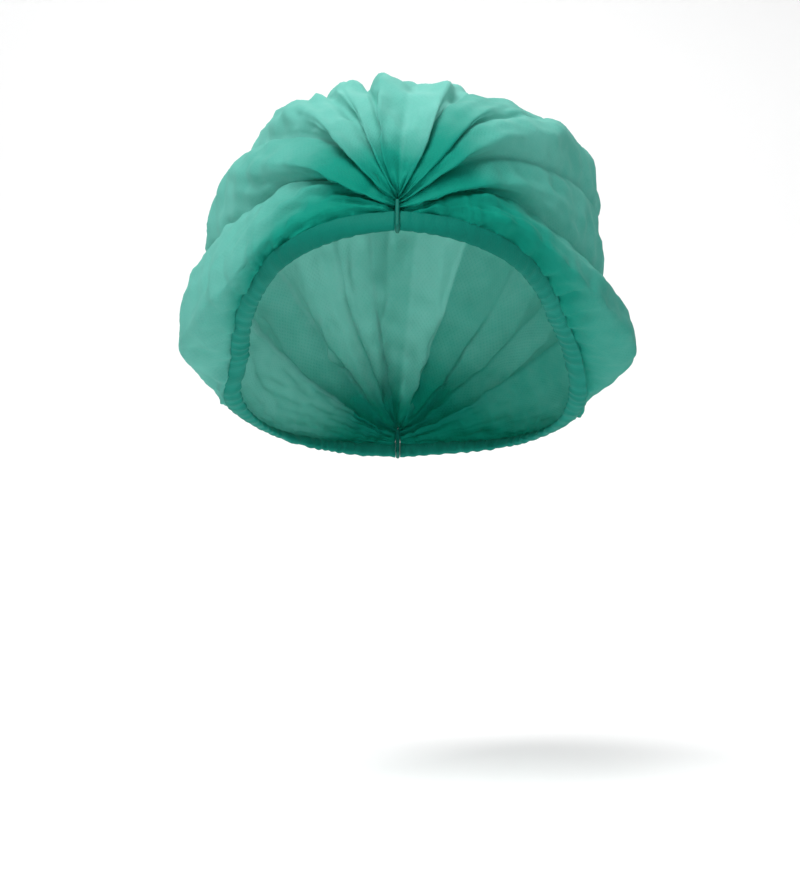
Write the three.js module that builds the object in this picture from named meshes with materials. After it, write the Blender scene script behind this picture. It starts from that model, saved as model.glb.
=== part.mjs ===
// A disposable hair cover cap of pleated nonwoven cloth, in the form that it has when worn.
//
// The cap is one pleated strip, pressed together at both ends: the front weld sits over the middle of
// the forehead and the nape weld at the back of the neck. The strip opens out between them like a fan,
// so that its folds run from weld to weld over the crown. Each long edge is turned over an elastic,
// which gathers it into the rim round the face, behind the ear and down to the nape.
//
// Millimetres, +Z up. The wearer looks along -Y, and +X is on the left hand of the wearer. The origin is
// the top of the head, where the cap rests on it. Angles are in degrees.
import * as THREE from 'three';

// ---- driving dimensions ----
const FRONT_WELD = new THREE.Vector3(0, -93, -63); // the rim at the middle of the forehead
const NAPE_WELD = new THREE.Vector3(0, 86, -157); // the rim at the nape
const CLOTH_WALL = 1.2; // thickness of the cloth as a solid wall
const GAP = 0.3; // clearance between neighbouring pieces
const PLEAT_ROUNDNESS = 0.6; // share of a pleat's depth that lies below the mean surface
const MOUTH = { halfWidth: 3.4, height: 18, fade: 13 }; // arch where the pleats meet a weld
const TUCK_TURN = 45; // turn past 90 over which the lobe is drawn in under itself to the hem
const TUCK_FULLNESS = { ofGap: 1.05, least: 4 }; // how far the drawn-in cloth rounds out
const HEM = { width: 8, leaf: 1.0, proud: 1.0 }; // folded edge that holds the elastic
const ELASTIC = { width: 4, thickness: 0.8, inset: 0.4 };
const WELD = { thickness: 2.0, height: 14, depth: 7, inside: 3, corner: 1.5 };
const CROWN_STATIONS = 36; // facets from weld to weld
const HEM_STATIONS = 50;
const TUCK_FACETS = 5;
const CLOTH = { color: 0x3fa593, roughness: 0.85, metalness: 0 };
const GATHERED_CLOTH = { color: 0x0d7a6a, roughness: 0.85, metalness: 0 };
const RUBBER = { color: 0xe9ece6, roughness: 0.7, metalness: 0 };

// Sections of the cap, each at a station: the angle seen from the middle of the rim, from the front weld
// (0) to the nape weld (180). top, sideLeft and sideRight are the reaches of the cloth over the crown and
// at the temple line, wrap is how far round the section the cloth goes before it is drawn in, rimLeft and
// rimRight are the reaches of the rim, drop is how far the rim hangs below the line of the welds, and
// flare is the lean of the hem out of the plane of the rim. Left is -X.
const SECTIONS = [
  {
    station: 0, top: 101, sideLeft: 101, sideRight: 101, wrap: 60,
    rimLeft: 101, rimRight: 101, drop: 0, flare: 80,
  },
  {
    station: 14, top: 112, sideLeft: 102, sideRight: 102, wrap: 66,
    rimLeft: 97, rimRight: 97, drop: 0, flare: 62,
  },
  {
    station: 30, top: 119, sideLeft: 100, sideRight: 100, wrap: 78,
    rimLeft: 89, rimRight: 90, drop: 0, flare: 35,
  },
  {
    station: 47, top: 121, sideLeft: 96, sideRight: 96, wrap: 88,
    rimLeft: 78, rimRight: 80, drop: 0, flare: 8,
  },
  {
    station: 66, top: 121, sideLeft: 95, sideRight: 95, wrap: 90,
    rimLeft: 70, rimRight: 73, drop: 1, flare: -12,
  },
  {
    station: 88, top: 125, sideLeft: 99, sideRight: 99, wrap: 90,
    rimLeft: 67, rimRight: 75, drop: 3, flare: -22,
  },
  {
    station: 108, top: 126, sideLeft: 91, sideRight: 93, wrap: 88,
    rimLeft: 75, rimRight: 82, drop: 7, flare: -12,
  },
  {
    station: 128, top: 121, sideLeft: 91, sideRight: 96, wrap: 83,
    rimLeft: 82, rimRight: 91, drop: 7, flare: 25,
  },
  {
    station: 147, top: 114, sideLeft: 97, sideRight: 99, wrap: 77,
    rimLeft: 91, rimRight: 96, drop: 4, flare: 48,
  },
  {
    station: 166, top: 106, sideLeft: 101, sideRight: 101, wrap: 67,
    rimLeft: 98, rimRight: 98, drop: 1, flare: 68,
  },
  {
    station: 180, top: 101, sideLeft: 101, sideRight: 101, wrap: 60,
    rimLeft: 101, rimRight: 101, drop: 0, flare: 80,
  },
];

// Reach of the cloth at the fullest section, by the turn round that section from the -X temple (-90)
// over the crown (0) to the +X temple (90). MEAN_REACH is what the sections above already give.
const FULLEST = [
  { turn: -90, reach: 94 },
  { turn: -75, reach: 97 },
  { turn: -61, reach: 99 },
  { turn: -45, reach: 110 },
  { turn: -30, reach: 118 },
  { turn: -15, reach: 119 },
  { turn: 0, reach: 120 },
  { turn: 15, reach: 120 },
  { turn: 30, reach: 123 },
  { turn: 41, reach: 128 },
  { turn: 50, reach: 118 },
  { turn: 60, reach: 103 },
  { turn: 70, reach: 98 },
  { turn: 84, reach: 104 },
  { turn: 90, reach: 103 },
];
const MEAN_REACH = { crown: 121, temple: 98 };

// Pleats, each from its own turn to that of the next row. crease is 0 for a round puff and 1 for a
// folded ridge.
const PLEATS = [
  { from: -119, depth: 5, crease: 0, facets: 6 },
  { from: -61, depth: 9, crease: 0, facets: 4 },
  { from: -38, depth: 8, crease: 0, facets: 4 },
  { from: -20, depth: 3, crease: 0.2, facets: 3 },
  { from: -9, depth: 7, crease: 0.8, facets: 3 },
  { from: 5, depth: 6, crease: 0.9, facets: 3 },
  { from: 19.7, depth: 4, crease: 0.4, facets: 3 },
  { from: 36.5, depth: 4, crease: 0.4, facets: 3 },
  { from: 52, depth: 6, crease: 0.2, facets: 4 },
  { from: 70, depth: 7, crease: 0.5, facets: 5 },
  { from: 119, depth: 0, crease: 0, facets: 0 },
];

// The folds at which the crown ends and the lobes over the temples begin; each is the start of a pleat.
const LOBE_FOLDS = { left: -61, right: 70 };

// ---- frame of the cap: along the line of the welds, square to it in the middle plane, and across ----
const CENTRE = FRONT_WELD.clone().add(NAPE_WELD).multiplyScalar(0.5);
const AHEAD = FRONT_WELD.clone().sub(NAPE_WELD).normalize();
const ACROSS = new THREE.Vector3(1, 0, 0);
const UPWARD = new THREE.Vector3().crossVectors(AHEAD, ACROSS).normalize();

const radians = THREE.MathUtils.degToRad;
const cosine = (degrees) => Math.cos(radians(degrees));
const sine = (degrees) => Math.sin(radians(degrees));
const sideOf = (turn) => (turn < 0 ? -1 : 1);

// Sum of vectors, each times its own amount.
function sum(...terms) {
  const total = new THREE.Vector3();
  terms.forEach(([amount, vector]) => total.addScaledVector(vector, amount));
  return total;
}

// Weights of a cubic between two points: the two values, then the two slopes.
function cubicWeights(t) {
  const start = 2 * t ** 3 - 3 * t ** 2 + 1;
  return [start, 1 - start, t ** 3 - 2 * t ** 2 + t, t ** 3 - t ** 2];
}

// Smooth curve through one column of a table, with the slope at each row taken from its neighbours.
function along(table, key, column, at) {
  const last = table.length - 1;
  const slope = (row) => {
    const [before, after] = [table[Math.max(row - 1, 0)], table[Math.min(row + 1, last)]];
    return (after[column] - before[column]) / (after[key] - before[key]);
  };
  let row = 0;
  while (row < last - 1 && at >= table[row + 1][key]) row += 1;
  const [low, high] = [table[row], table[row + 1]];
  const span = high[key] - low[key];
  const [start, end, startSlope, endSlope] = cubicWeights((at - low[key]) / span);
  return low[column] * start + high[column] * end
    + span * (slope(row) * startSlope + slope(row + 1) * endSlope);
}

// Height of the pleats above the mean surface: half round puffs, or ridges where they are creased.
function pleatHeight(turn) {
  if (turn < PLEATS[0].from || turn >= PLEATS[PLEATS.length - 1].from) return 0;
  const row = PLEATS.findIndex((pleat, index) => turn < PLEATS[index + 1].from);
  const pleat = PLEATS[row];
  const across = (2 * (turn - pleat.from)) / (PLEATS[row + 1].from - pleat.from) - 1;
  const puff = Math.sqrt(Math.max(0, 1 - across * across));
  const ridge = 1 - Math.abs(across);
  return pleat.depth * ((1 - pleat.crease) * puff + pleat.crease * ridge - PLEAT_ROUNDNESS);
}

// Point at a reach from the middle of the rim, at a station and a lean from the middle plane. Close to a
// weld the point lies on the small arch of the mouth instead of closing to one spot.
function place(station, reach, lean) {
  const mouth = Math.exp(-station / MOUTH.fade) + Math.exp((station - 180) / MOUTH.fade);
  const out = reach * sine(station);
  return sum(
    [1, CENTRE],
    [reach * cosine(station), AHEAD],
    [(out + MOUTH.height * mouth) * cosine(lean), UPWARD],
    [(out + MOUTH.halfWidth * mouth) * sine(lean), ACROSS],
  );
}

// The rim's free edge at a station, and the way from it up the hem.
function rim(station, side) {
  const reach = along(SECTIONS, 'station', side < 0 ? 'rimLeft' : 'rimRight', station);
  const drop = along(SECTIONS, 'station', 'drop', station);
  const flare = along(SECTIONS, 'station', 'flare', station);
  const edge = sum([1, place(station, reach, 90 * side)], [-drop, UPWARD]);
  const outward = sum([cosine(station), AHEAD], [sine(station) * side, ACROSS]);
  const upHem = sum([cosine(flare), outward], [sine(flare), UPWARD]);
  return { edge, upHem };
}

// The cap's outer surface: a pleated dome to a turn of 90 on each side, and past that a smooth curve
// that draws the cloth in under itself to the top of the hem.
function capSurface(station, turn) {
  const side = sideOf(turn);
  const held = THREE.MathUtils.clamp(turn, -90, 90);
  const lean = (held * along(SECTIONS, 'station', 'wrap', station)) / 90;
  const overCrown = cosine(lean) ** 2;
  const swell = sine(station) ** 1.5;
  const pleating = sine(station) ** 0.8;
  const shaped = cosine(held) ** 2;
  const mean = MEAN_REACH.crown * shaped + MEAN_REACH.temple * (1 - shaped);
  const reach = along(SECTIONS, 'station', 'top', station) * overCrown
    + along(SECTIONS, 'station', side < 0 ? 'sideLeft' : 'sideRight', station) * (1 - overCrown)
    + (along(FULLEST, 'turn', 'reach', held) - mean) * swell
    + pleatHeight(turn) * pleating;
  const dome = place(station, reach, lean);
  if (Math.abs(turn) <= 90) return dome;

  const { edge, upHem } = rim(station, side);
  const hemTop = sum([1, edge], [HEM.width, upHem]);
  const fullness = TUCK_FULLNESS.ofGap * dome.distanceTo(hemTop) + TUCK_FULLNESS.least * sine(station);
  const leaving = sum([cosine(lean) * side, ACROSS], [-Math.abs(sine(lean)), UPWARD]);
  const [start, end, startSlope, endSlope] = cubicWeights((Math.abs(turn) - 90) / TUCK_TURN);
  return sum([start, dome], [end, hemTop], [fullness * startSlope, leaving], [-fullness * endSlope, upHem]);
}

// ---- solids ----

// Closed mesh from rings of points, rows of equal length that are each a closed loop, capped at both ends
// by a strip across each ring's first half and second half.
function loftRings(rings) {
  const count = rings[0].length;
  const positions = rings.flat().flatMap((point) => [point.x, point.y, point.z]);
  const indices = [];
  const quad = (a, b, c, d) => indices.push(a, b, c, a, c, d);
  for (let ring = 0; ring < rings.length - 1; ring += 1) {
    for (let step = 0; step < count; step += 1) {
      const next = (step + 1) % count;
      quad(ring * count + step, ring * count + next, (ring + 1) * count + next, (ring + 1) * count + step);
    }
  }
  const end = (rings.length - 1) * count;
  for (let step = 0; step < count / 2 - 1; step += 1) {
    const mate = count - 1 - step;
    quad(step, mate, mate - 1, step + 1);
    quad(end + step, end + step + 1, end + mate - 1, end + mate);
  }
  const geometry = new THREE.BufferGeometry();
  geometry.setAttribute('position', new THREE.Float32BufferAttribute(positions, 3));
  geometry.setIndex(indices);
  geometry.computeVertexNormals();
  return geometry;
}

// The volume that a closed mesh holds; it is negative where its faces point inwards.
function signedVolume(geometry) {
  const corners = geometry.toNonIndexed().getAttribute('position');
  const [a, b, c] = [new THREE.Vector3(), new THREE.Vector3(), new THREE.Vector3()];
  let volume = 0;
  for (let corner = 0; corner < corners.count; corner += 3) {
    a.fromBufferAttribute(corners, corner);
    b.fromBufferAttribute(corners, corner + 1);
    c.fromBufferAttribute(corners, corner + 2);
    volume += a.dot(b.cross(c)) / 6;
  }
  return volume;
}

// Turns a mesh's faces outwards if they point inwards.
function facingOut(geometry) {
  if (signedVolume(geometry) < 0) {
    geometry.setIndex([...geometry.getIndex().array].reverse());
    geometry.computeVertexNormals();
  }
  return geometry;
}

// The turns at which the crown has a row of corners: shared out over each pleat and over each tuck.
function crownTurns() {
  const tuckFrom = PLEATS[PLEATS.length - 1].from;
  const tuckTo = 90 + TUCK_TURN;
  const tuck = Array.from({ length: TUCK_FACETS - 2 }, (_, step) => (
    tuckFrom + ((tuckTo - tuckFrom) * (step + 1)) / (TUCK_FACETS - 2)));
  const pleated = PLEATS.slice(0, -1).flatMap((pleat, row) => Array.from(
    { length: pleat.facets },
    (_, step) => pleat.from + ((PLEATS[row + 1].from - pleat.from) * step) / pleat.facets,
  ));
  return [...tuck.map((turn) => -turn).reverse(), ...pleated, tuckFrom, ...tuck];
}

// Stations from weld to weld, closer together near the welds, where the form changes fastest.
function stations(count) {
  return Array.from({ length: count + 1 }, (_, step) => {
    const share = step / count;
    return 180 * share - 9 * Math.sin(2 * Math.PI * share);
  });
}

// The cloth's corners, outside and inside, in rows from weld to weld. The inside is one wall further in.
function clothGrid() {
  const turns = crownTurns();
  const outer = stations(CROWN_STATIONS).map((station) => turns.map((turn) => capSurface(station, turn)));
  const beside = (list, index) => [list[Math.max(index - 1, 0)], list[Math.min(index + 1, list.length - 1)]];
  const inner = outer.map((row, ring) => {
    const [ringBefore, ringAfter] = beside(outer, ring);
    return row.map((point, column) => {
      const [left, right] = beside(row, column);
      const forward = ringAfter[column].clone().sub(ringBefore[column]);
      const normal = right.clone().sub(left).cross(forward).normalize();
      return sum([1, point], [CLOTH_WALL, normal]);
    });
  });
  return { turns, outer, inner };
}

// The cloth between two turns: each ring runs over the outside and back along the inside. An edge that
// meets the next stretch of cloth is drawn back by half the gap.
function clothGeometry({ turns, outer, inner }, fromTurn, toTurn) {
  const first = turns.indexOf(fromTurn);
  const last = turns.indexOf(toTurn);
  const drawBack = (point, neighbour) => (
    sum([1, point], [GAP / 2, neighbour.clone().sub(point).normalize()]));
  const cut = (row) => {
    const kept = row.slice(first, last + 1);
    if (first > 0) kept[0] = drawBack(row[first], row[first + 1]);
    if (last < row.length - 1) kept[kept.length - 1] = drawBack(row[last], row[last - 1]);
    return kept;
  };
  return facingOut(loftRings(outer.map((row, ring) => [...cut(row), ...cut(inner[ring]).reverse()])));
}

// A section swept along one side of the rim, from weld tab to weld tab. Each corner is
// [up the hem, out from the head].
function rimSweep(corners, side) {
  const weldFace = side * (WELD.thickness / 2 + GAP);
  const atWeld = (ring) => ring.map((point) => new THREE.Vector3(weldFace, point.y, point.z));
  const rings = stations(HEM_STATIONS).map((station) => {
    const { edge, upHem } = rim(station, side);
    const travel = rim(Math.min(station + 1, 180), side).edge.sub(rim(Math.max(station - 1, 0), side).edge);
    const outward = travel.cross(upHem).multiplyScalar(-side).normalize();
    return corners.map(([up, out]) => sum([1, edge], [up, upHem], [out, outward]));
  });
  return facingOut(loftRings([atWeld(rings[0]), ...rings, atWeld(rings[rings.length - 1])]));
}

// The folded edge: two leaves and the fold that joins them, open towards the crown.
function hemGeometry(side) {
  const top = HEM.width - GAP;
  const pocket = ELASTIC.thickness + 2 * GAP;
  const outside = HEM.proud;
  const outerLeaf = outside - HEM.leaf;
  const innerLeaf = outerLeaf - pocket;
  const inside = innerLeaf - HEM.leaf;
  return rimSweep([
    [top, outside], [0, outside], [0, inside], [top, inside],
    [top, innerLeaf], [HEM.leaf, innerLeaf], [HEM.leaf, outerLeaf], [top, outerLeaf],
  ], side);
}

// The flat elastic that lies in the fold of the hem.
function elasticGeometry(side) {
  const bottom = HEM.leaf + GAP + ELASTIC.inset;
  const outside = HEM.proud - HEM.leaf - GAP;
  return rimSweep([
    [bottom, outside], [bottom, outside - ELASTIC.thickness],
    [bottom + ELASTIC.width, outside - ELASTIC.thickness], [bottom + ELASTIC.width, outside],
  ], side);
}

// The pressed ends of the pleats: a thin upright tab with round corners that stands in the mouth.
function weldGeometry() {
  const { thickness, height, depth, corner } = WELD;
  const outline = new THREE.Shape();
  outline.moveTo(corner, 0);
  outline.lineTo(depth - corner, 0);
  outline.absarc(depth - corner, corner, corner, -Math.PI / 2, 0);
  outline.lineTo(depth, height - corner);
  outline.absarc(depth - corner, height - corner, corner, 0, Math.PI / 2);
  outline.lineTo(corner, height);
  outline.absarc(corner, height - corner, corner, Math.PI / 2, Math.PI);
  outline.lineTo(0, corner);
  outline.absarc(corner, corner, corner, Math.PI, 1.5 * Math.PI);
  const geometry = new THREE.ExtrudeGeometry(outline, {
    depth: thickness, bevelEnabled: false, curveSegments: 4,
  });
  return geometry.translate(0, 0, -thickness / 2);
}

// ---- the pieces ----
const cap = new THREE.Group();

function addPiece(name, geometry, finish) {
  const piece = new THREE.Mesh(geometry, new THREE.MeshStandardMaterial(finish));
  piece.name = name;
  cap.add(piece);
  return piece;
}

// Stands a weld tab at one end of the cap. Its own X runs out of the cap, its Y up and its Z across.
function addWeld(name, end, outOfCap) {
  const piece = addPiece(name, weldGeometry(), GATHERED_CLOTH);
  const across = new THREE.Vector3().crossVectors(outOfCap, UPWARD);
  piece.quaternion.setFromRotationMatrix(new THREE.Matrix4().makeBasis(outOfCap, UPWARD, across));
  piece.position.copy(sum([1, end], [-WELD.inside, outOfCap]));
}

const cloth = clothGrid();
const [firstTurn, lastTurn] = [cloth.turns[0], cloth.turns[cloth.turns.length - 1]];
addPiece('crown', clothGeometry(cloth, LOBE_FOLDS.left, LOBE_FOLDS.right), CLOTH);
addPiece('lobe_left', clothGeometry(cloth, firstTurn, LOBE_FOLDS.left), CLOTH);
addPiece('lobe_right', clothGeometry(cloth, LOBE_FOLDS.right, lastTurn), CLOTH);
[['left', -1], ['right', 1]].forEach(([name, side]) => {
  addPiece(`hem_${name}`, hemGeometry(side), GATHERED_CLOTH);
  addPiece(`elastic_${name}`, elasticGeometry(side), RUBBER);
});
addWeld('front_weld', FRONT_WELD, AHEAD);
addWeld('nape_weld', NAPE_WELD, AHEAD.clone().negate());

export default cap;
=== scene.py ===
"""A disposable hair cover cap of pleated nonwoven cloth, in the form that it has when worn.

The cloth is worked out as a surface over two numbers. The station runs from the front weld (0 degrees) to
the nape weld (180), and the turn runs round each section from one hem over the crown (0) to the other.
Lengths in the tables are millimetres, and MM makes them metres.
"""
import math

import bmesh
import bpy
import numpy as np
from bpy.props import FloatProperty, FloatVectorProperty, IntProperty, PointerProperty
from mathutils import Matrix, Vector


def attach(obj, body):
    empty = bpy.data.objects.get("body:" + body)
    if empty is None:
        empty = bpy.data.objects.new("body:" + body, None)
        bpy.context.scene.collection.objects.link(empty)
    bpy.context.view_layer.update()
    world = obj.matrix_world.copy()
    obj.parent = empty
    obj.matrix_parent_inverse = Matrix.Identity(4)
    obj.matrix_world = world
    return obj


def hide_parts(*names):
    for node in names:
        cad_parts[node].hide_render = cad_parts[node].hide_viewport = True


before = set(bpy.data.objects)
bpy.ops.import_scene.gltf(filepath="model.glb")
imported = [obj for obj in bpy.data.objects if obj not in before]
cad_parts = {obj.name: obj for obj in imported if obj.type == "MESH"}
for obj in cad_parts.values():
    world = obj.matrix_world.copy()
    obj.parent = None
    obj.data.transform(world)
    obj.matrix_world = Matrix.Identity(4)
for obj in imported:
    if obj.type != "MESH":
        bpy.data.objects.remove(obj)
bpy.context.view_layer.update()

bl_info = {
    "name": "Pleated hair cover cap",
    "version": (1, 0, 0),
    "blender": (4, 5, 0),
    "location": "3D View > Sidebar > Hair cover",
    "description": "Makes a pleated hair cover cap and the stage that it is shown on",
    "category": "Object",
}

MM = 0.001
ROOT = "root"

# ---- form of the cap ----
FRONT_WELD = np.array([0.0, -93.0, -63.0])
NAPE_WELD = np.array([0.0, 86.0, -157.0])
MOUTH_HALF_WIDTH = 1.25
MOUTH_HEIGHT = 16.0
MOUTH_FADE = 13.0
TUCK_TURN = 45.0
TUCK_OF_GAP = 1.05
TUCK_LEAST = 4.0
HEM_WIDTH = 8.0
HEM_END = 1.04
HEM_OVERLAP = 1.5
HEM_BULGE = 1.8
HEM_SET_IN = 0.7
HEM_ROUNDING = 0.35
BROW_STATION = 60
WANDER = 1.8
NORMAL_REACH = 6

# The modelled cloth narrows to each weld. A real cap's cut holds more cloth than this, folded away at the
# welds and gathered at the rim.
ELASTIC_WIDTH = 4.0
ELASTIC_THICKNESS = 0.8
ELASTIC_MIDDLE = 3.9
ELASTIC_CORNERS = 12
PUFF_BASE = 0.6
PUFF_ROUNDNESS = 0.72
OVERLAP_SHARE = 0.42
PLEAT_LIFT = 1.9
FINE_FOLDS = 3
FINE_FOLD_HEIGHT = 1.3
MEAN_CROWN = 121.0
MEAN_TEMPLE = 98.0
NOISE_LATTICE = 97
LAYER_SHADE = 0.3
WANDER_FADE = 20
HEM_ROWS = 760
HEM_CORNERS = 22
ELASTIC_ROWS = 420
WELD_ROWS = 64
WELD_CORNERS = 72
WELD_HEIGHT = 14.0
WELD_DEPTH = 7.0
WELD_THICKNESS = 2.0
WELD_AHEAD = 0.5
WELD_RIB = 0.03
WELD_RIBS = 18
WELD_DENT = 0.05
WELD_DENTS = 9

# One row for each station: reach over the crown and at each side, turn at which the cloth is drawn in,
# reach of the rim on each side, how far the rim hangs, and the lean of the hem.
SECTIONS = {
    "station":    (0,   14,  30,  47,  66,  88,  108, 128, 147, 166, 180),
    "top":        (101, 112, 119, 121, 121, 125, 126, 121, 114, 106, 101),
    "side_left":  (101, 102, 100, 96,  95,  99,  91,  91,  97,  101, 101),
    "side_right": (101, 102, 100, 96,  95,  99,  93,  96,  99,  101, 101),
    "wrap":       (60,  66,  78,  88,  90,  90,  88,  83,  77,  67,  60),
    "rim_left":   (101, 97,  89,  78,  70,  67,  75,  82,  91,  98,  101),
    "rim_right":  (101, 97,  90,  80,  73,  75,  82,  91,  96,  98,  101),
    "drop":       (0,   0,   0,   0,   1,   3,   7,   7,   4,   1,   0),
    "flare":      (80,  62,  35,  8,   -12, -22, -12, 25,  48,  68,  80),
}

# Reach of the cloth at the fullest section, by the turn round it.
FULLEST = {
    "turn":  (-90, -75, -61, -45, -30, -15, 0,   15,  30,  41,  50,  60,  70, 84,  90),
    "reach": (94,  97,  99,  110, 118, 119, 120, 120, 123, 128, 118, 103, 98, 104, 103),
}

# Puckers that the elastic draws in: how long each wave is, how deep, and how far from the hem it fades.
PUCKERS = {
    "length": (7.0, 13.0, 27.0),
    "depth":  (0.9, 1.5,  2.0),
    "fade":   (9.0, 18.0, 36.0),
}

# Fields of creases: seed, number of directions, longest and shortest period, height as a share of the
# crumple setting, and how far the creases are drawn out along the cap.
CREASES = {
    "seed":     (21,  91,  41),
    "count":    (18,  18,  10),
    "longest":  (70,  26,  16),
    "shortest": (24,  9,   7),
    "height":   (1.0, 0.7, 0.35),
    "drawn":    (1,   1,   7),
}

# Pleats from one side to the other: where each starts, its depth, how sharp its ridge is (0 is a round
# puff), which way it lies over near a weld, and how much cloth lies folded under it.
PLEATS = {
    "start":  (-119, -61, -38, -20, -9,  5,   19.7, 36.5, 52,  70, 119),
    "depth":  (5,    9,   8,   4,   7,   6,   4,    4,    6,   7),
    "crease": (0,    0.1, 0.1, 0.3, 0.8, 0.9, 0.5,  0.4,  0.3, 0.5),
    "lie":    (0,    -1,  -1,  -1,  -1,  1,   1,    1,    1,   0),
    "cover":  (0.26, 0.34, 0.06, 0.1, 0.14, -0.05, 0.5, 0.42, 0.52, 0.62),
}


def column(array):
    """The array with one more axis at its end, so that it scales vectors."""
    return np.asarray(array)[..., None]


def length_of(vectors):
    """Lengths of the vectors on the last axis."""
    return np.sqrt(np.sum(vectors * vectors, axis=-1))


def unit(vectors):
    """The vectors on the last axis, each over its own length."""
    return vectors / np.maximum(column(length_of(vectors)), 1e-9)


CENTRE = (FRONT_WELD + NAPE_WELD) / 2
AHEAD = unit(FRONT_WELD - NAPE_WELD)
ACROSS = np.array([1.0, 0.0, 0.0])
UPWARD = np.cross(AHEAD, ACROSS)


def cubic_weights(t):
    """Weights of a cubic between two points, for the two values and then the two slopes."""
    start = 2 * t ** 3 - 3 * t ** 2 + 1
    return start, 1 - start, t ** 3 - 2 * t ** 2 + t, t ** 3 - t ** 2


def along(table, key, name, at):
    """Smooth curve through one row of a table; each slope joins the neighbours on both sides."""
    xs = np.array(table[key], float)
    ys = np.array(table[name], float)
    before = np.maximum(np.arange(len(xs)) - 1, 0)
    after = np.minimum(np.arange(len(xs)) + 1, len(xs) - 1)
    slopes = (ys[after] - ys[before]) / (xs[after] - xs[before])
    low = np.clip(np.searchsorted(xs, at, side="right") - 1, 0, len(xs) - 2)
    span = xs[low + 1] - xs[low]
    start, end, start_slope, end_slope = cubic_weights((at - xs[low]) / span)
    return (ys[low] * start + ys[low + 1] * end
            + span * (slopes[low] * start_slope + slopes[low + 1] * end_slope))


def noise(x, y, seed):
    """Smooth noise from -1 to 1: a lattice of seeded numbers, blended by a smooth step in x and y."""
    lattice = np.random.default_rng(seed).uniform(-1, 1, (NOISE_LATTICE, NOISE_LATTICE))
    column_low, row_low = np.floor(x).astype(int), np.floor(y).astype(int)
    across, up = x - column_low, y - row_low
    across, up = across * across * (3 - 2 * across), up * up * (3 - 2 * up)

    def at(column_step, row_step):
        return lattice[(column_low + column_step) % NOISE_LATTICE, (row_low + row_step) % NOISE_LATTICE]

    low = at(0, 0) * (1 - across) + at(1, 0) * across
    high = at(0, 1) * (1 - across) + at(1, 1) * across
    return low * (1 - up) + high * up


def place(station, reach, lean):
    """Point at a reach from the rim's middle, leaning from the middle plane, open to an arch at a weld."""
    round_rim = np.radians(station)
    mouth = np.exp(-station / MOUTH_FADE) + np.exp((station - 180) / MOUTH_FADE)
    out = reach * np.sin(round_rim)
    return (CENTRE + column(reach * np.cos(round_rim)) * AHEAD
            + column((out + MOUTH_HEIGHT * mouth) * np.cos(lean)) * UPWARD
            + column((out + MOUTH_HALF_WIDTH * mouth) * np.sin(lean)) * ACROSS)


def rim(station, side):
    """The rim's free edge at each station, and the unit vector from it up the hem."""
    left = along(SECTIONS, "station", "rim_left", station)
    right = along(SECTIONS, "station", "rim_right", station)
    reach = np.where(side < 0, left, right)
    flare = np.radians(along(SECTIONS, "station", "flare", station))
    edge = place(station, reach, np.radians(90) * side)
    edge = edge - column(along(SECTIONS, "station", "drop", station)) * UPWARD
    round_rim = np.radians(station)
    outward = column(np.cos(round_rim)) * AHEAD + column(np.sin(round_rim) * side) * ACROSS
    return edge, column(np.cos(flare)) * outward + column(np.sin(flare)) * UPWARD


def pleat_shape(station, turn):
    """Height of the pleats over the mean surface, how far each lies over to one side, and its layers.

    Across a pleat the height is a half round mixed with a ridge. Near a weld there is less room than cloth,
    so the ridge slides sideways over the next pleat by a quarter of the cloth that is left over.
    """
    starts = np.array(PLEATS["start"], float)
    index = np.clip(np.searchsorted(starts, turn, side="right") - 1, 0, len(starts) - 2)
    width = starts[index + 1] - starts[index]
    phase = np.clip(2 * (turn - starts[index]) / width - 1, -1, 1)
    depth, crease, lie, cover = (
        np.array(PLEATS[name])[index] for name in ("depth", "crease", "lie", "cover"))
    near = 1 - np.sin(np.radians(station)) ** 0.8
    crease = crease + (1 - crease) * near * 0.7
    ridge = 1 - np.sqrt(phase * phase + 0.004) + 0.03
    puff = np.clip(1 - phase * phase, 0, 1) ** PUFF_ROUNDNESS
    profile = (1 - crease) * puff + crease * ridge - PUFF_BASE
    height = depth * profile * np.sin(np.radians(station)) ** 0.8
    full_width = np.radians(width) * MEAN_CROWN
    room = full_width * np.sin(np.radians(station)) + width * 0.09
    most = OVERLAP_SHARE * room
    slide = most * np.tanh(np.clip(full_width - room, 0, None) / 4 / most) * np.abs(lie)
    fine = np.abs(np.sin(np.pi * FINE_FOLDS * (phase + 1) / 2)) - 0.5
    height = height + near * (PLEAT_LIFT * ridge + FINE_FOLD_HEIGHT * fine) * np.abs(lie)
    layers = near * 4 * slide / np.maximum(room, 1e-6) + cover / LAYER_SHADE
    return height, 2 * slide * ridge * lie, layers


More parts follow.
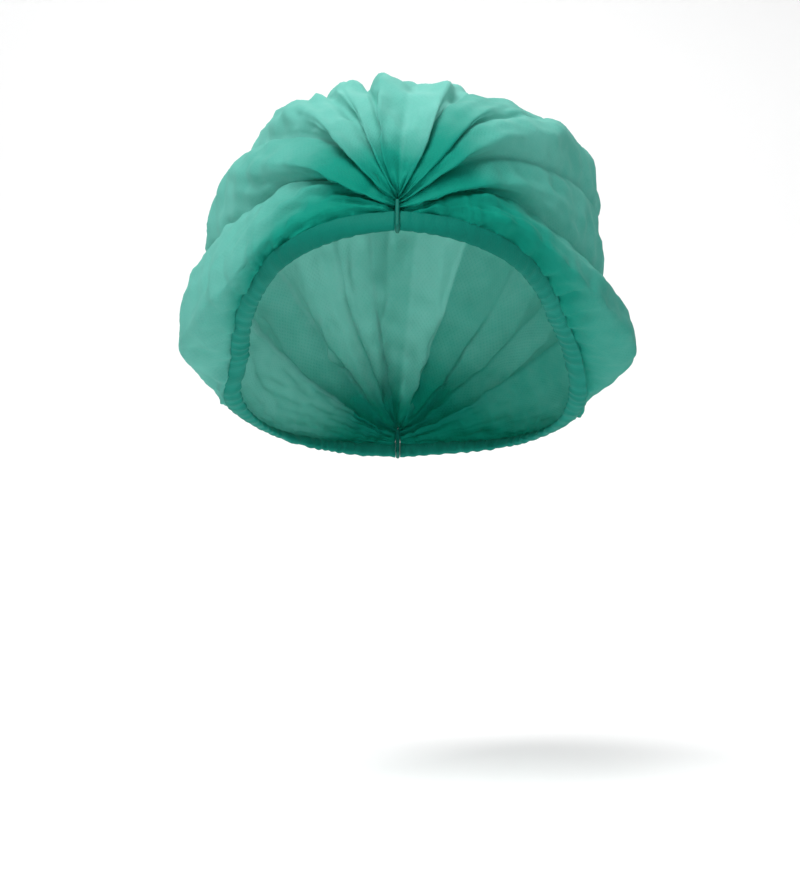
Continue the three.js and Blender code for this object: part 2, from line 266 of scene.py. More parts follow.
def cap_surface(station, turn):
    """The cap's outer surface and its layers of cloth, at every station and turn of two equal arrays."""
    side = np.where(turn < 0, -1.0, 1.0)
    held = np.clip(turn, -90, 90)
    wander = noise(station / 23, turn / 21, 3) * WANDER * np.sin(np.radians(station))
    wander = wander * np.clip((88 - np.abs(turn)) / WANDER_FADE, 0, 1)
    lean = np.radians((held + wander) * along(SECTIONS, "station", "wrap", station) / 90)
    over_crown = np.cos(lean) ** 2
    swell = np.sin(np.radians(station)) ** 1.5
    shaped = np.cos(np.radians(held)) ** 2
    mean = MEAN_CROWN * shaped + MEAN_TEMPLE * (1 - shaped)
    height, slide, layers = pleat_shape(station, turn)
    side_reach = np.where(side < 0, along(SECTIONS, "station", "side_left", station),
                          along(SECTIONS, "station", "side_right", station))
    reach = (along(SECTIONS, "station", "top", station) * over_crown + side_reach * (1 - over_crown)
             + (along(FULLEST, "turn", "reach", held) - mean) * swell + height)
    mouth = np.exp(-station / MOUTH_FADE) + np.exp((station - 180) / MOUTH_FADE)
    radius = reach * np.sin(np.radians(station)) + (MOUTH_HEIGHT + MOUTH_HALF_WIDTH) / 2 * mouth
    keep = np.clip((88 - np.abs(turn)) / 25, 0, 1)
    dome = place(station, reach, lean + slide * keep / radius)

    edge, up_hem = rim(station, side)
    hem_top = edge + (HEM_WIDTH - HEM_OVERLAP) * up_hem
    gap = length_of(dome - hem_top)
    fullness = TUCK_OF_GAP * gap + TUCK_LEAST * np.sin(np.radians(station))
    leaving = column(np.cos(lean) * side) * ACROSS - column(np.abs(np.sin(lean))) * UPWARD
    tucked = np.clip((np.abs(turn) - 90) / TUCK_TURN, 0, 1)
    start, end, start_slope, end_slope = cubic_weights(tucked)
    tuck = (column(start) * dome + column(end) * hem_top
            + column(fullness * start_slope) * leaving - column(fullness * end_slope) * up_hem)
    return np.where(column(np.abs(turn) > 90), tuck, dome), layers


def spaced_stations(count):
    """Stations from weld to weld, closer together near the welds."""
    share = np.linspace(0, 1, count)
    return 180 * share - 9 * np.sin(2 * np.pi * share)


def fold_turns(count):
    """Turns from hem to hem, with one exactly on each fold line and more to a degree in narrow pleats."""
    furthest = 90 + TUCK_TURN
    knots = np.array([-furthest, *PLEATS["start"][1:-1], furthest], float)
    shares = np.diff(knots) ** 0.8
    counts = np.round(count * shares / shares.sum()).astype(int)
    runs = [np.linspace(*ends, number, endpoint=False) for *ends, number in zip(knots, knots[1:], counts)]
    return np.concatenate([*runs, [furthest]])


def grid_normals(points, reach):
    """Unit normals of a grid of points: the steps along its two directions, crossed.

    Each is the mean over so many columns to both sides, so that tight folds don't scatter them.
    """
    normals = unit(np.cross(np.gradient(points, axis=1), np.gradient(points, axis=0)))
    padded = np.pad(normals, ((0, 0), (reach, reach), (0, 0)), mode="edge")
    windows = np.lib.stride_tricks.sliding_window_view(padded, 2 * reach + 1, axis=1)
    return unit(windows.mean(axis=-1))


def crumple(along_cloth, across_cloth, seed, count, longest, shortest):
    """Height of creased cloth: many fields of straight creases, each faded in and out by noise.

    Each field is a triangular wave along its own direction in the flat cloth, bent a little by noise.
    """
    rng = np.random.default_rng(seed)
    total = np.zeros_like(along_cloth)
    for number in range(count):
        heading = rng.uniform(0, np.pi)
        period = shortest + (longest - shortest) * rng.uniform() ** 1.5
        line = along_cloth * np.cos(heading) + across_cloth * np.sin(heading)
        bend = noise(along_cloth / 60 + number, across_cloth / 60, seed + number) * period * 0.5
        wave = np.abs(((line + bend) / period + rng.uniform()) % 1 * 2 - 1)
        fade = np.clip(noise(along_cloth / 45, across_cloth / 45 + number, seed + 50 + number) * 1.6, 0, 1)
        total += (wave - 0.5) * fade * period / longest
    return total


def gathers(along_rim, from_hem, seed):
    """Height of the puckers that the elastic draws into the cloth, fading with the way from the hem.

    Short ones fade first and long ones reach further, each a wave whose length wanders along the rim.
    """
    total = np.zeros_like(along_rim)
    for wavelength, depth, fade in zip(*PUCKERS.values()):
        wander = noise(along_rim / (wavelength * 2.3), from_hem / 60, seed + int(wavelength)) * 1.5
        wave = np.sin(2 * np.pi * along_rim / wavelength + wander * 2)
        strength = 0.6 + 0.4 * noise(along_rim / (wavelength * 1.7) + 9, from_hem / 40, seed + 2)
        total += depth * strength * (np.abs(wave) * 1.3 - 0.6) * np.exp(-from_hem / fade)
    return total


def build_mesh(name, points, closed_across=False, uv=None, layers=None):
    """Object from a grid of points in millimetres: quads between neighbours, smooth, with its UV map."""
    rows, columns = points.shape[:2]
    index = np.arange(rows * columns).reshape(rows, columns)
    if closed_across:
        index = np.concatenate([index, index[:, :1]], axis=1)
    faces = np.stack([index[:-1, :-1], index[:-1, 1:], index[1:, 1:], index[1:, :-1]], axis=-1)
    faces = faces.reshape(-1, 4)
    mesh = bpy.data.meshes.new(name)
    mesh.vertices.add(rows * columns)
    mesh.vertices.foreach_set("co", (points * MM).ravel())
    mesh.loops.add(faces.size)
    mesh.loops.foreach_set("vertex_index", faces.ravel())
    mesh.polygons.add(len(faces))
    mesh.polygons.foreach_set("loop_start", np.arange(len(faces)) * 4)
    mesh.update(calc_edges=True)
    mesh.polygons.foreach_set("use_smooth", np.ones(len(faces), bool))
    if uv is not None:
        wide = np.concatenate([uv, uv[:, :1] + (0, uv[:, -1:, 1].max())], axis=1) if closed_across else uv
        corners = np.stack([wide[:-1, :-1], wide[:-1, 1:], wide[1:, 1:], wide[1:, :-1]], axis=2)
        mesh.uv_layers.new(name="cloth").data.foreach_set("uv", corners.ravel())
    # The "layers" attribute is the shade that deepens the cloth's colour: its layers, with painted shade
    # near the hems and by the welds.
    if layers is not None:
        mesh.attributes.new("layers", "FLOAT", "POINT").data.foreach_set("value", layers.ravel())
    piece = bpy.data.objects.new(name, mesh)
    bpy.context.scene.collection.objects.link(piece)
    return piece


def thicken(piece, thickness):
    """Gives a sheet its wall, inwards from its outer face."""
    wall = piece.modifiers.new("wall", "SOLIDIFY")
    wall.thickness = thickness
    wall.offset = -1
    wall.use_rim = True


# ---- shader expressions ----
def plain(value):
    """A value's own socket where it is a wrapped one, or the number or colour as it is."""
    return value.socket if isinstance(value, Wire) else value


class Wire:
    """A shader socket on which + - and * add Math nodes."""

    def __init__(self, tree, socket):
        self.tree = tree
        self.socket = socket

    def math(self, operation, first, second=None, clamp=False):
        values = {0: first} if second is None else {0: first, 1: second}
        return self.tree.node("ShaderNodeMath", {"operation": operation, "use_clamp": clamp}, values)

    def __add__(self, other):
        return self.math("ADD", self, other)

    def __sub__(self, other):
        return self.math("SUBTRACT", self, other)

    def __rsub__(self, other):
        return self.math("SUBTRACT", other, self)

    def __mul__(self, other):
        return self.math("MULTIPLY", self, other)

    __radd__ = __add__
    __rmul__ = __mul__

    def beside(self, output):
        """Another output of the same node."""
        return Wire(self.tree, self.socket.node.outputs[output])

    def clamped(self):
        """The value held between 0 and 1."""
        return self.math("ADD", self, 0.0, clamp=True)

    def sine(self):
        """Sine of the value."""
        return self.math("SINE", self)

    def absolute(self):
        """The value without its sign."""
        return self.math("ABSOLUTE", self)


class ShaderTree:
    """A material's node tree, filled by node() and by expressions on what it gives back."""

    def __init__(self, name):
        self.material = bpy.data.materials.new(name)
        self.material.use_nodes = True
        self.nodes = self.material.node_tree.nodes
        self.links = self.material.node_tree.links
        self.nodes.clear()

    def node(self, kind, settings=None, values=None, output=0):
        """Adds a node of a kind, with its settings first and then its sockets' values or links."""
        made = self.nodes.new(kind)
        for key, value in (settings or {}).items():
            setattr(made, key, value)
        for key, value in (values or {}).items():
            value = plain(value)
            if isinstance(value, bpy.types.NodeSocket):
                self.links.new(value, made.inputs[key])
            else:
                made.inputs[key].default_value = value
        return None if output is None else Wire(self, made.outputs[output])

    def mix(self, factor, first, second):
        """Colour between two colours."""
        settings = {"data_type": "RGBA", "clamp_factor": True}
        return self.node("ShaderNodeMix", settings, {0: factor, 6: first, 7: second}, output=2)

    def mix_shaders(self, factor, first, second):
        """Shader between two shaders."""
        return self.node("ShaderNodeMixShader", {}, {0: factor, 1: first, 2: second})

    def finish(self, surface):
        """Joins a shader to the material's output."""
        self.node("ShaderNodeOutputMaterial", {}, {"Surface": surface}, output=None)
        return self.material


def linear(colour):
    """Screen colour, 0 to 255 a channel, as the shader's linear one."""
    share = np.array(colour, float) / 255
    value = np.where(share <= 0.04045, share / 12.92, ((share + 0.055) / 1.055) ** 2.4)
    return (*value.tolist(), 1.0)


def bond_pattern(tree, spacing):
    """Small pressed points in staggered rows, in the flat cloth: high between them and low in each.

    Two sets of slanting waves are multiplied, so that their crests meet in a lattice of lozenges.
    """
    flat = tree.node("ShaderNodeUVMap", {"uv_map": "cloth"})
    across = tree.node("ShaderNodeSeparateXYZ", {}, {0: flat})
    down = across.beside(1)
    rising = ((across + down) * (math.pi / spacing)).sine()
    falling = ((across - down) * (math.pi / spacing)).sine()
    return ((rising * falling).absolute() * 1.6 - 0.6).clamped()


def cloth_material(name, thin, thick, deep, see_through, glow, roughness, settings):
    """Nonwoven cloth: its colour deepens with its layers and with painted shade, light comes through it, and
    fibres mottle it.

    The light that comes through is mixed from three plain colours by the same shares as the colour itself.
    """
    tree = ShaderTree(name)
    # The "layers" attribute holds the layers of cloth, with painted shade added near the hems, most at the
    # brow, and by the welds.
    layers = tree.node("ShaderNodeAttribute", {"attribute_name": "layers"}, output=2)
    place_in = tree.node("ShaderNodeTexCoord", output=3)
    cloud = tree.node("ShaderNodeTexNoise", {}, {"Vector": place_in, "Scale": 90.0, "Detail": 5.0,
                                                 "Roughness": 0.65})
    fibres = tree.node("ShaderNodeTexNoise", {}, {"Vector": place_in, "Scale": 900.0, "Detail": 3.0,
                                                  "Roughness": 0.7, "Distortion": 2.5})
    bonds = bond_pattern(tree, settings.bond_spacing / MM)
    weight_and_painted_shade = (layers + (cloud - 0.5) * 0.5 + (fibres - 0.5) * 0.18).clamped()
    # Share of the deep colour. It comes from gathered cloth and from painted shade near the hems and by the
    # welds.
    gathered = ((layers - 0.55) * 1.25).clamped()
    pressed = bonds * 0.16
    body = tree.mix(pressed, tree.mix(gathered, tree.mix(weight_and_painted_shade, thin, thick), deep), deep)
    height = fibres * 0.5 + cloud * 0.5 - bonds * 0.8
    relief = tree.node("ShaderNodeBump", {}, {"Strength": 0.28, "Distance": 0.0004, "Height": height})
    face = tree.node("ShaderNodeBsdfPrincipled", {}, {
        "Base Color": body, "Roughness": (fibres * 0.12 + roughness - bonds * 0.12).clamped(),
        "Normal": relief, "Sheen Weight": 0.03, "Sheen Roughness": 0.5, "Specular IOR Level": 0.12})
    pale_glow, thick_glow, deep_glow = (
        tree.node("ShaderNodeBsdfTranslucent", {}, {"Color": colour, "Normal": relief})
        for colour in (thin, thick, deep))
    through = tree.mix_shaders(weight_and_painted_shade, pale_glow, thick_glow)
    through = tree.mix_shaders(gathered, through, deep_glow)
    through = tree.mix_shaders(pressed, through, deep_glow)
    lit = tree.mix_shaders(glow, face, through)
    clear = tree.node("ShaderNodeBsdfTransparent", {}, {"Color": (1, 1, 1, 1)})
    open_share = ((1 - weight_and_painted_shade) * see_through * (1 - bonds * 0.5)).clamped()
    return tree.finish(tree.mix_shaders(open_share, lit, clear))


def pressed_material(name, colour, edge):
    """Heat-pressed cloth: deeper and smoother than the rest, with a fine mottle."""
    tree = ShaderTree(name)
    place_in = tree.node("ShaderNodeTexCoord", output=3)
    mottle = tree.node("ShaderNodeTexNoise", {}, {"Vector": place_in, "Scale": 700.0, "Detail": 4.0})
    body = tree.mix(mottle, colour, edge)
    relief = tree.node("ShaderNodeBump", {}, {"Strength": 0.3, "Distance": 0.0002, "Height": mottle})
    return tree.finish(tree.node("ShaderNodeBsdfPrincipled", {}, {
        "Base Color": body, "Roughness": (mottle * 0.2 + 0.5).clamped(), "Normal": relief,
        "Specular IOR Level": 0.15}))


def elastic_material(name, colour, shade):
    """Flat elastic: fine lengthwise ribs and a soft mottle."""
    tree = ShaderTree(name)
    place_in = tree.node("ShaderNodeTexCoord", output=3)
    ribs = tree.node("ShaderNodeTexWave", {"wave_type": "RINGS"}, {"Vector": place_in, "Scale": 300.0,
                                                                   "Distortion": 1.0})
    body = tree.mix(ribs, colour, shade)
    relief = tree.node("ShaderNodeBump", {}, {"Strength": 0.4, "Distance": 0.0002, "Height": ribs})
    return tree.finish(tree.node("ShaderNodeBsdfPrincipled", {}, {
        "Base Color": body, "Roughness": (ribs * 0.1 + 0.6).clamped(), "Normal": relief}))


def stage_material(name, colour):
    """Smooth paper for the stage, with a very faint tone in it."""
    tree = ShaderTree(name)
    place_in = tree.node("ShaderNodeTexCoord", output=3)
    tone = tree.node("ShaderNodeTexNoise", {}, {"Vector": place_in, "Scale": 3.0})
    body = tree.mix(tone * 0.04, colour, (0.8, 0.8, 0.8, 1.0))
    return tree.finish(tree.node("ShaderNodeBsdfPrincipled", {}, {"Base Color": body, "Roughness": 0.9}))


# ---- what a user may change ----
class ClothSettings(bpy.types.PropertyGroup):
    """Sizes and colours of the cloth."""

    wall: FloatProperty(
        name="Wall", description="Thickness of the cloth", default=0.0003, unit="LENGTH")
    rows: IntProperty(name="Rows", description="Rows of the cloth from weld to weld", default=204)
    columns: IntProperty(name="Columns", description="Columns of the cloth from hem to hem", default=232)
    crumple: FloatProperty(
        name="Crumple", description="Height of the crumples", default=0.0024, unit="LENGTH")
    pucker: FloatProperty(
        name="Pucker", description="Share of the full height of the gathers at the rim", default=1.0)
    bond_spacing: FloatProperty(
        name="Bond spacing", description="Way between the pressed points of the cloth",
        default=0.0024, unit="LENGTH")
    thin: FloatVectorProperty(
        name="Single cloth", description="Colour of one layer of cloth", subtype="COLOR",
        size=4, default=linear((134, 212, 201)))
    thick: FloatVectorProperty(
        name="Folded cloth", description="Colour of cloth lying on cloth", subtype="COLOR",
        size=4, default=linear((34, 164, 147)))
    # The gathered cloth's colour is also the painted shade near the hems and by the welds.
    deep: FloatVectorProperty(
        name="Gathered cloth", description="Colour of many layers drawn together", subtype="COLOR",
        size=4, default=linear((0, 152, 131)))


class TrimSettings(bpy.types.PropertyGroup):
    """Sizes and colours of the hems, elastics and welds."""

    hem: FloatVectorProperty(
        name="Hem", description="Colour of the folded hem at the sides", subtype="COLOR",
        size=4, default=linear((34, 154, 138)))
    # The gathered hem's colour is also painted shade at the brow.
    hem_deep_and_painted_shade: FloatVectorProperty(
        name="Gathered hem", description="Colour of the hem where it is drawn in most", subtype="COLOR",
        size=4, default=linear((0, 122, 106)))
    pressed: FloatVectorProperty(
        name="Pressed cloth", description="Colour of the welds", subtype="COLOR",
        size=4, default=linear((0, 84, 72)))
    pressed_edge: FloatVectorProperty(
        name="Pressed cloth's mottle", description="Lighter colour in the welds", subtype="COLOR",
        size=4, default=linear((2, 104, 90)))
    elastic: FloatVectorProperty(
        name="Elastic", description="Colour of the elastic", subtype="COLOR",
        size=4, default=linear((236, 239, 232)))
    elastic_shade: FloatVectorProperty(
        name="Elastic's ribs", description="Colour between the elastic's ribs", subtype="COLOR",
        size=4, default=linear((205, 210, 200)))
    gather_length: FloatProperty(
        name="Gather length", description="Way from one gather of the hem to the next",
        default=0.0058, unit="LENGTH")
    gather_height: FloatProperty(
        name="Gather height", description="How far the hem's gathers stand out", default=0.0008,
        unit="LENGTH")


class StageSettings(bpy.types.PropertyGroup):
    """The camera's place and the stage."""

    distance: FloatProperty(
        name="Distance", description="From the camera to the middle of the head", default=1.1,
        unit="LENGTH")
    eye_height: FloatProperty(
        name="Eye height", description="Height of the camera over the origin", default=-0.148,
        unit="LENGTH")
    lens: FloatProperty(name="Lens", description="Focal length in millimetres", default=100.6)
    floor: FloatProperty(
        name="Floor", description="Height of the floor under the held-up cap", default=-0.31,
        unit="LENGTH")
    paper: FloatVectorProperty(
        name="Paper", description="Colour of the stage", subtype="COLOR", size=4,
        default=(0.93, 0.93, 0.93, 1.0))


# The soft light panels, in metres and watts.
PANELS = {
    "name":  ("key_panel",        "fill_panel",     "back_panel"),
    "spot":  ((-0.4, -0.75, 1.2), (1.0, -1.0, 0.2), (0.2, 1.0, 1.0)),
    "size":  (0.9,                0.9,              0.9),
    "power": (28.0,               2.0,              10.0),
}
CAP_MIDDLE = np.array([0.0, 0.0, -0.07])
SURROUND_STRENGTH = 0.42
CAMERA_ACROSS = 0.0011
SENSOR = 36.0


# ---- pieces ----
def crown_grid(settings):
    """The cloth's points with its crumples and puckers added, its UV map in flat millimetres, and its shade.

    Every point of the smooth surface moves along the surface's own normal by the crumples and the puckers.
    """
    stations = spaced_stations(settings.rows)
    station, turn = np.meshgrid(stations, fold_turns(settings.columns), indexing="ij")
    points, layers = cap_surface(station, turn)
    steps_across = length_of(np.diff(points, axis=1))
    steps_along = length_of(np.diff(points, axis=0))
    across = np.concatenate([np.zeros_like(steps_across[:, :1]), np.cumsum(steps_across, axis=1)], axis=1)
    along_line = np.concatenate([np.zeros_like(steps_along[:1]), np.cumsum(steps_along, axis=0)], axis=0)
    middle = len(stations) // 2
    flat_across = np.broadcast_to(across[middle], station.shape)
    flat_along = np.broadcast_to(along_line.mean(axis=1, keepdims=True), station.shape)
    from_hem = np.minimum(across, across[:, -1:] - across)
    side = np.where(turn < 0, 0, 1)
    rim_line = np.where(turn < 0, along_line[:, :1], along_line[:, -1:])
    puckers = gathers(rim_line + side * 37, from_hem, 11) * settings.pucker
    ease = np.clip(from_hem / 3, 0, 1) * np.clip(np.minimum(station, 180 - station) / 4, 0, 1)
    ease = ease * ease * (3 - 2 * ease)
    creases = np.zeros_like(flat_along)
    for seed, count, longest, shortest, height, drawn in zip(*CREASES.values()):
        field = crumple(flat_along / drawn, flat_across, seed, count, longest, shortest)
        creases += field * settings.crumple / MM * height
    open_cloth = np.clip(1.15 - layers * 0.3, 0.3, 1)
    points = points + column((puckers + creases * open_cloth) * ease) * grid_normals(points, NORMAL_REACH)
    uv = np.stack([flat_across, flat_along], axis=-1)
    # The shade deepens the cloth's colour. It holds its layers, a faint random tone, and bands along the
    # hems and by the welds that are partly gathered cloth and partly painted shade, strongest at the front
    # under the puffed cloth.
    weld_way = np.minimum(flat_along, flat_along[-1:] - flat_along)
    front = np.clip((75 - station) / 45, 0, 1)
    shade = (LAYER_SHADE * layers + (0.5 + 0.75 * front) * np.exp(-from_hem / (7 + 6 * front))
             + 0.95 * np.exp(-(weld_way / 30) ** 2) + 0.12 * noise(flat_across / 30, flat_along / 40, 71))
    return points, uv, np.clip(shade, 0, 1.8)


def hem_grid(settings, side):
    """The folded hem as a gathered tube: a rounded loop carried along the rim, rippled across it."""
    stations = spaced_stations(HEM_ROWS)
    edge, up_hem = rim(stations, np.full_like(stations, float(side)))
    travel = unit(np.gradient(edge, axis=0))
    outward = unit(np.cross(travel, up_hem)) * -side
    run = np.concatenate([[0], np.cumsum(length_of(np.diff(edge, axis=0)))])
    angle = np.linspace(0, 2 * np.pi, HEM_CORNERS, endpoint=False)
    up = (HEM_WIDTH / 2 + HEM_ROUNDING) * (1 + np.cos(angle))
    body = np.sin(angle) * (1 - 0.55 * np.clip(np.cos(angle), 0, 1) ** 2)
    run_grid, up_grid = run[:, None], up[None, :]
    pitch = settings.gather_length / MM
    sway = noise(run_grid / 19, up_grid / 30, 5 + side) * 1.4
    ripple = np.abs(np.sin(np.pi * run_grid / pitch + sway * 2 + up_grid * 0.05)) - 0.6
    ripple = ripple + 0.5 * noise(run_grid / 2.6, up_grid / 5, 17 + side)
    brow = np.clip((BROW_STATION - stations[:, None]) / 30, 0, 1)
    ripple = ripple * (1 - 0.5 * brow)
    ease = np.clip(np.minimum(run_grid, run[-1] - run_grid) / 5, 0, 1)
    bulge = HEM_BULGE - 0.4 * brow + 0.3 * noise(run_grid / 12, up_grid / 9, 31)
    out = body[None, :] * bulge - HEM_SET_IN
    outer_only = np.where(body[None, :] > 0, 1.0, 0.6)
    out = out + np.sign(body[None, :]) * np.clip(ripple, -0.2, 1) * settings.gather_height / MM * outer_only
    sag = ripple * 0.5 * np.clip(1 - up_grid / HEM_WIDTH, 0, 1) * ease
    points = edge[:, None] + column(up_grid - sag) * up_hem[:, None] + column(out) * outward[:, None]
    points[[0, -1], :, 0] = side * HEM_END
    uv = np.stack(np.broadcast_arrays(run_grid * 1.8, np.linspace(0, 20, HEM_CORNERS)[None, :]), axis=-1)
    # The shade deepens the hem's colour. It is stronger along the gathers' ripples and adds painted shade at
    # the brow, where the front of the hem lies under the puffed cloth.
    shade = np.broadcast_to(0.92 + 0.25 * ripple + 0.5 * brow, points.shape[:2])
    return points, uv, np.clip(shade, 0.3, 1.5)


def elastic_grid(side):
    """The flat elastic in a hem: an oblong with rounded corners, carried along the rim."""
    stations = spaced_stations(ELASTIC_ROWS)
    edge, up_hem = rim(stations, np.full_like(stations, float(side)))
    outward = unit(np.cross(unit(np.gradient(edge, axis=0)), up_hem)) * -side
    angle = (np.arange(ELASTIC_CORNERS) + 0.5) * 2 * np.pi / ELASTIC_CORNERS
    up = ELASTIC_MIDDLE + np.sign(np.cos(angle)) * np.abs(np.cos(angle)) ** 0.4 * ELASTIC_WIDTH / 2
    out = np.sign(np.sin(angle)) * np.abs(np.sin(angle)) ** 0.5 * ELASTIC_THICKNESS / 2 - HEM_SET_IN
    points = edge[:, None] + column(up[None]) * up_hem[:, None] + column(out[None]) * outward[:, None]
    points[[0, -1], :, 0] = side * (HEM_END + 0.25)
    run = np.concatenate([[0], np.cumsum(length_of(np.diff(edge, axis=0)))])
    return points, np.stack(np.broadcast_arrays(run[:, None], angle[None]), axis=-1)


def cap_ends(piece, count):
    """Closes the two open ends of a tube of so many corners with a face each."""
    mesh = piece.data
    total = len(mesh.vertices)
    work = bmesh.new()
    work.from_mesh(mesh)
    work.verts.ensure_lookup_table()
    work.faces.new([work.verts[i] for i in range(count)])
    work.faces.new([work.verts[i] for i in range(total - count, total)])
    bmesh.ops.recalc_face_normals(work, faces=work.faces)
    work.to_mesh(mesh)
    work.free()


def weld_grid(end, out_of_cap):
    """A pressed stack of pleat ends: a flat rounded bar, ribbed along its height by the folds in it."""
    v = np.linspace(0, 1, WELD_ROWS)[:, None]
    angle = np.linspace(0, 2 * np.pi, WELD_CORNERS, endpoint=False)[None, :]
    waist = np.sqrt(np.clip(1 - np.abs(2 * v - 1) ** 20, 0, 1)) * 0.97 + 0.03
    ribs = 1 + WELD_RIB * np.cos(angle * WELD_RIBS)
    cos, sin = np.cos(angle), np.sin(angle)
    ahead = np.sign(cos) * np.abs(cos) ** 0.5 * WELD_DEPTH / 2 * waist + WELD_AHEAD
    across = np.sign(sin) * np.abs(sin) ** 0.7 * WELD_THICKNESS / 2 * waist * ribs
    press = 1 - WELD_DENT * (np.sin(v * np.pi * WELD_DENTS) > 0.2) * (np.abs(cos) < 0.8)
    up = np.broadcast_to(v * WELD_HEIGHT, (WELD_ROWS, WELD_CORNERS))
    points = (end + column(ahead) * out_of_cap + column(up) * UPWARD + column(across * press) * ACROSS)
    uv = np.stack(np.broadcast_arrays(v * WELD_HEIGHT, angle * 3), axis=-1)
    return points, uv


def ride_and_replace(piece, nodes):
    """Sets a piece on the body, in place of its CAD nodes."""
    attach(piece, ROOT)
    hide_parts(*nodes)


class HAIRCOVER_OT_crown(bpy.types.Operator):
    """Makes the pleated cloth"""

    bl_idname = "haircover.crown"
    bl_label = "Pleated crown"

    def execute(self, context):
        settings = context.scene.haircover_cloth
        points, uv, shade = crown_grid(settings)
        # The cloth's shade, painted shade included, goes into its "layers" attribute.
        piece = build_mesh("pleated_crown", points, uv=uv, layers=shade)
        thicken(piece, settings.wall)
        piece.data.materials.append(cloth_material(
            "nonwoven_cloth", settings.thin, settings.thick, settings.deep, 0.16, 0.42, 0.62, settings))
        ride_and_replace(piece, ("crown", "lobe_left", "lobe_right"))
        return {"FINISHED"}


class HAIRCOVER_OT_hems(bpy.types.Operator):
    """Makes the gathered hem on each side, with its elastic"""

    bl_idname = "haircover.hems"
    bl_label = "Hems and elastics"

    def execute(self, context):
        cloth = context.scene.haircover_cloth
        trim = context.scene.haircover_trim
        casing = cloth_material("gathered_cloth", trim.hem, trim.hem, trim.hem_deep_and_painted_shade, 0.0, 0.3, 0.6, cloth)
        rubber = elastic_material("ribbed_elastic", trim.elastic, trim.elastic_shade)
        for name, side in (("left", -1), ("right", 1)):
            points, uv, shade = hem_grid(trim, side)
            # The hem's shade, painted shade at the brow included, goes into its "layers" attribute.
            piece = build_mesh(f"hem_casing_{name}", points, closed_across=True, uv=uv, layers=shade)
            cap_ends(piece, points.shape[1])
            piece.data.materials.append(casing)
            ride_and_replace(piece, [f"hem_{name}"])
            points, uv = elastic_grid(side)
            piece = build_mesh(f"elastic_band_{name}", points, closed_across=True, uv=uv)
            cap_ends(piece, points.shape[1])
            piece.data.materials.append(rubber)
            ride_and_replace(piece, [f"elastic_{name}"])
        return {"FINISHED"}


class HAIRCOVER_OT_welds(bpy.types.Operator):
    """Makes the pressed weld at each end"""

    bl_idname = "haircover.welds"
    bl_label = "Front and nape welds"

    def execute(self, context):
        trim = context.scene.haircover_trim
        pressed = pressed_material("pressed_cloth", trim.pressed, trim.pressed_edge)
        for name, end, out_of_cap in (("front", FRONT_WELD, AHEAD), ("nape", NAPE_WELD, -AHEAD)):
            points, uv = weld_grid(end, out_of_cap)
            piece = build_mesh(f"{name}_weld_tab", points, closed_across=True, uv=uv)
            cap_ends(piece, points.shape[1])
            piece.data.materials.append(pressed)
            ride_and_replace(piece, [f"{name}_weld"])
        return {"FINISHED"}


class HAIRCOVER_OT_stage(bpy.types.Operator):
    """Makes the floor, the lights and the camera"""

    bl_idname = "haircover.stage"
    bl_label = "Stage"

    def execute(self, context):
        settings = context.scene.haircover_stage
        make_backdrop(settings)
        make_lights()
        make_camera(settings)
        return {"FINISHED"}


def make_backdrop(settings):
    """A floor that curves up into a wall: a straight run, a quarter round and a straight rise."""
    near, bend, radius, top = -2.2, 1.1, 0.5, 2.4
    arc = np.linspace(0, np.pi / 2, 24)
    ahead = np.concatenate([[near], bend + radius * np.sin(arc), [bend + radius]])
    up = np.concatenate([[0], radius * (1 - np.cos(arc)), [top]])
    width = np.linspace(-3, 3, 7)
    across, row = np.meshgrid(width, np.arange(len(ahead)), indexing="ij")
    points = np.stack([across, ahead[row], up[row] + settings.floor], axis=-1) / MM
    piece = build_mesh("backdrop", points)
    piece.data.materials.append(stage_material("stage_paper", settings.paper))


def make_lights():
    """Soft light: a white surround and large panels over the front left, at the right and behind."""
    world = bpy.data.worlds.new("studio")
    world.use_nodes = True
    world.node_tree.nodes["Background"].inputs["Color"].default_value = (1, 1, 1, 1)
    world.node_tree.nodes["Background"].inputs["Strength"].default_value = SURROUND_STRENGTH
    bpy.context.scene.world = world
    for name, spot, size, power in zip(*PANELS.values()):
        light = bpy.data.lights.new(name, "AREA")
        light.size = size
        light.energy = power
        holder = bpy.data.objects.new(name, light)
        holder.location = spot
        aim(holder, CAP_MIDDLE)
        bpy.context.scene.collection.objects.link(holder)


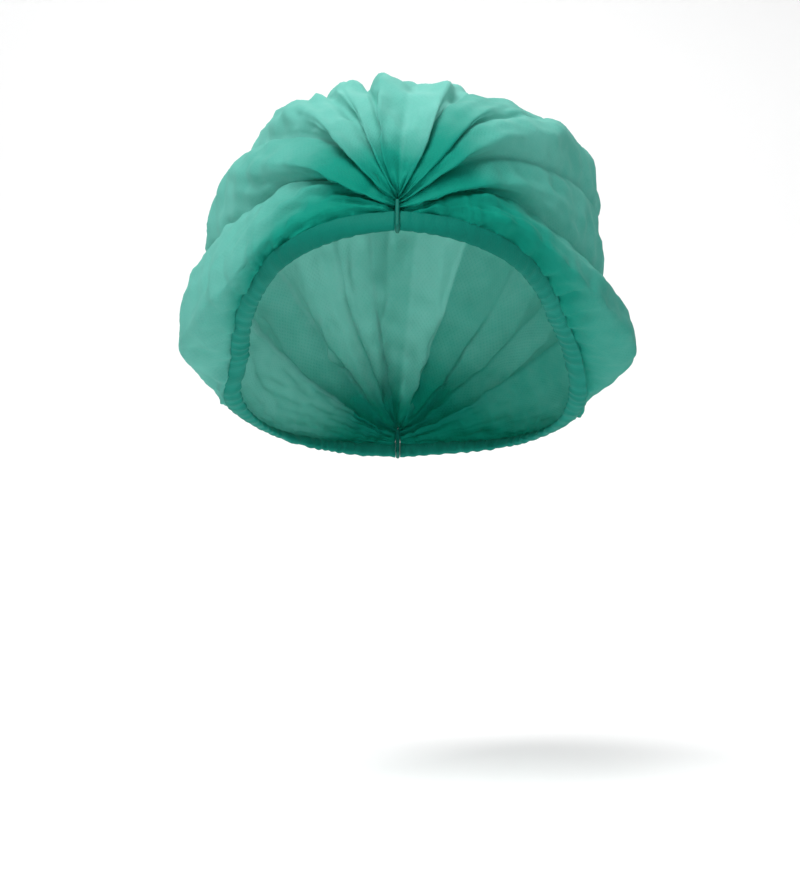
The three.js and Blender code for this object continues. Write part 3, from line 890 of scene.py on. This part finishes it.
def aim(holder, target):
    """Turns a light or camera so that its -Z axis points at the target."""
    way = Vector((target - np.array(holder.location)).tolist())
    holder.rotation_euler = way.to_track_quat("-Z", "Y").to_euler()


def make_camera(settings):
    """A level camera in front of the face, looking along +Y."""
    data = bpy.data.cameras.new("camera")
    data.lens = settings.lens
    data.sensor_fit = "VERTICAL"
    data.sensor_height = SENSOR
    data.sensor_width = SENSOR
    camera = bpy.data.objects.new("camera", data)
    camera.location = (CAMERA_ACROSS, -settings.distance, settings.eye_height)
    camera.rotation_euler = (math.radians(90), 0, 0)
    bpy.context.scene.collection.objects.link(camera)
    bpy.context.scene.camera = camera
    bpy.context.scene.view_settings.view_transform = "Standard"


class HAIRCOVER_PT_panel(bpy.types.Panel):
    """Lists the steps that make the cap"""

    bl_idname = "HAIRCOVER_PT_panel"
    bl_label = "Hair cover"
    bl_space_type = "VIEW_3D"
    bl_region_type = "UI"
    bl_category = "Hair cover"

    def draw(self, context):
        for step in STEPS:
            self.layout.operator(f"haircover.{step}")
        for group in ("cloth", "trim", "stage"):
            settings = getattr(context.scene, f"haircover_{group}")
            box = self.layout.box()
            for name in settings.bl_rna.properties.keys():
                if name not in {"rna_type", "name"}:
                    box.prop(settings, name)


STEPS = ("stage", "hems", "crown", "welds")
CLASSES = (
    ClothSettings, TrimSettings, StageSettings,
    HAIRCOVER_OT_crown, HAIRCOVER_OT_hems, HAIRCOVER_OT_welds, HAIRCOVER_OT_stage,
    HAIRCOVER_PT_panel,
)
GROUPS = {"haircover_cloth": ClothSettings, "haircover_trim": TrimSettings, "haircover_stage": StageSettings}


def register():
    """Registers the classes and hangs the settings on the scene."""
    for cls in CLASSES:
        bpy.utils.register_class(cls)
    for name, group in GROUPS.items():
        setattr(bpy.types.Scene, name, PointerProperty(type=group))


def unregister():
    """Takes the settings and the classes away again."""
    for name in GROUPS:
        delattr(bpy.types.Scene, name)
    for cls in reversed(CLASSES):
        bpy.utils.unregister_class(cls)


def main():
    """Makes everything in order."""
    register()
    for step in STEPS:
        getattr(bpy.ops.haircover, step)()


if __name__ == "__main__":
    main()
